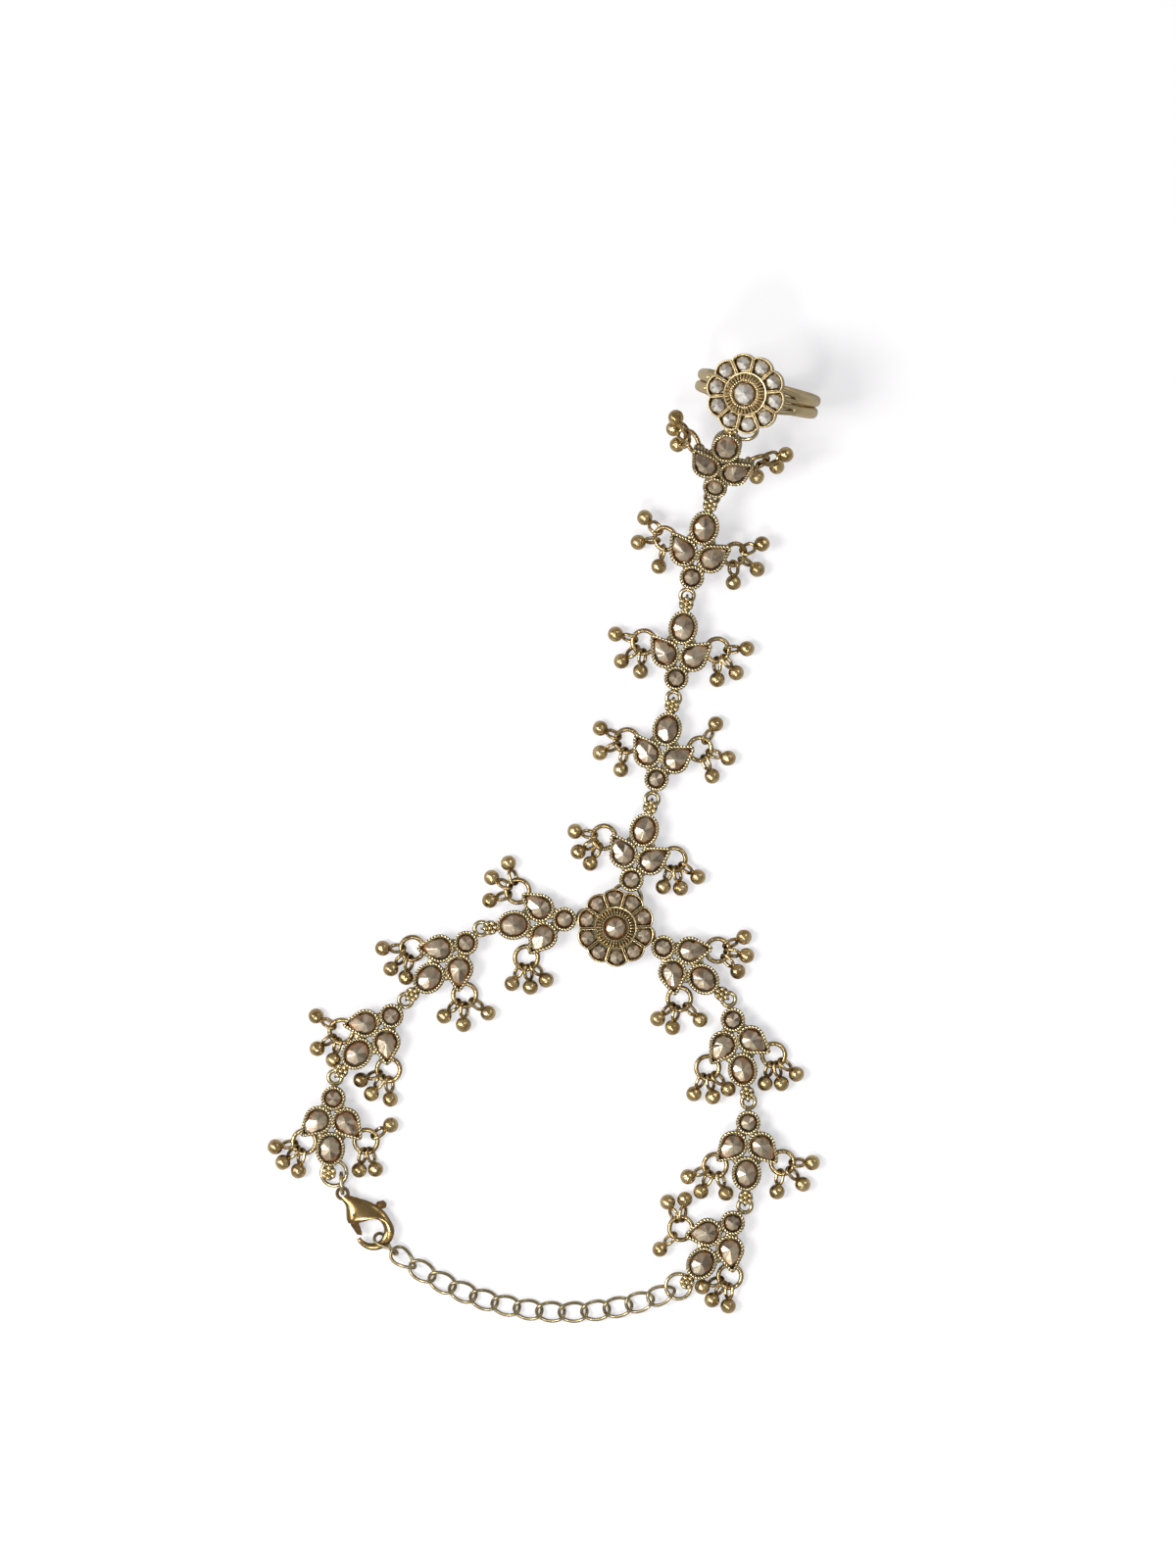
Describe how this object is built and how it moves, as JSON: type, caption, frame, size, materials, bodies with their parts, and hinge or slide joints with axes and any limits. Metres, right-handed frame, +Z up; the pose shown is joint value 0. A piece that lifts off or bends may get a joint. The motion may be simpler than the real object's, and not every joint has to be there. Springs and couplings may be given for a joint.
{
  "type": "hand chain bracelet",
  "caption": "Gold-plated hand chain: a finger ring and a wrist loop joined by stone-set cast links with ball drops, a flower rosette, a lobster clasp and an extender chain.",
  "frame": {"origin": "centre of the hand rosette, on the face of its back pad, which is the plane the bracelet lies on", "axes": "+Z up from the table, +Y from the hand rosette towards the finger ring, +X to the right seen from above"},
  "size_m": [0.0879, 0.1524, 0.0235],
  "materials": {
    "antique_gold": "antique gold plate, bright on the ridges and dark brown in the recesses",
    "brushed_gold": "paler brushed gold plate",
    "satin_gold": "satin gold plate, slightly dented",
    "clasp_gold": "polished gold plate with a little orange tarnish",
    "champagne_glass": "foil-backed cut glass, champagne and taupe",
    "clear_glass": "foil-backed cut glass, nearly clear"
  },
  "bodies": {
    "root": {"finger_ring": "brushed_gold", "ring_centre_stone": "clear_glass", "ring_petal_stones": "clear_glass", "hand_rosette": "antique_gold", "hand_centre_stone": "champagne_glass", "hand_petal_stones": "champagne_glass", "finger_link_1": "antique_gold", "finger_link_2": "antique_gold", "finger_link_3": "antique_gold", "finger_link_4": "antique_gold", "finger_link_5": "antique_gold", "left_link_1": "antique_gold", "left_link_2": "antique_gold", "left_link_3": "antique_gold", "left_link_4": "antique_gold", "right_link_1": "antique_gold", "right_link_2": "antique_gold", "right_link_3": "antique_gold", "right_link_4": "antique_gold", "finger_stones_1": "champagne_glass", "finger_stones_2": "champagne_glass", "finger_stones_3": "champagne_glass", "finger_stones_4": "champagne_glass", "finger_stones_5": "champagne_glass", "left_stones_1": "champagne_glass", "left_stones_2": "champagne_glass", "left_stones_3": "champagne_glass", "left_stones_4": "champagne_glass", "right_stones_1": "champagne_glass", "right_stones_2": "champagne_glass", "right_stones_3": "champagne_glass", "right_stones_4": "champagne_glass", "finger_drops_1": "satin_gold", "finger_drops_2": "satin_gold", "finger_drops_3": "satin_gold", "finger_drops_4": "satin_gold", "finger_drops_5": "satin_gold", "left_drops_1": "satin_gold", "left_drops_2": "satin_gold", "left_drops_3": "satin_gold", "left_drops_4": "satin_gold", "right_drops_1": "satin_gold", "right_drops_2": "satin_gold", "right_drops_3": "satin_gold", "right_drops_4": "satin_gold", "hand_joint_ring": "antique_gold", "ring_joint_ring": "antique_gold", "clasp_ring": "antique_gold", "clasp_eye_ring": "antique_gold", "chain_ring": "antique_gold", "clasp_body": "clasp_gold", "extender_chain": "antique_gold"},
    "lever": {"clasp_lever": "clasp_gold"}
  },
  "joints": [
    {"name": "clasp_lever_hinge", "type": "hinge", "parent": "root", "child": "lever", "pos_m": [-0.0414, -0.0457, 0.0018], "axis": [0, 0, 1], "range_deg": [0, 25], "stiffness_Nm_per_rad": 0.0005}
  ]
}
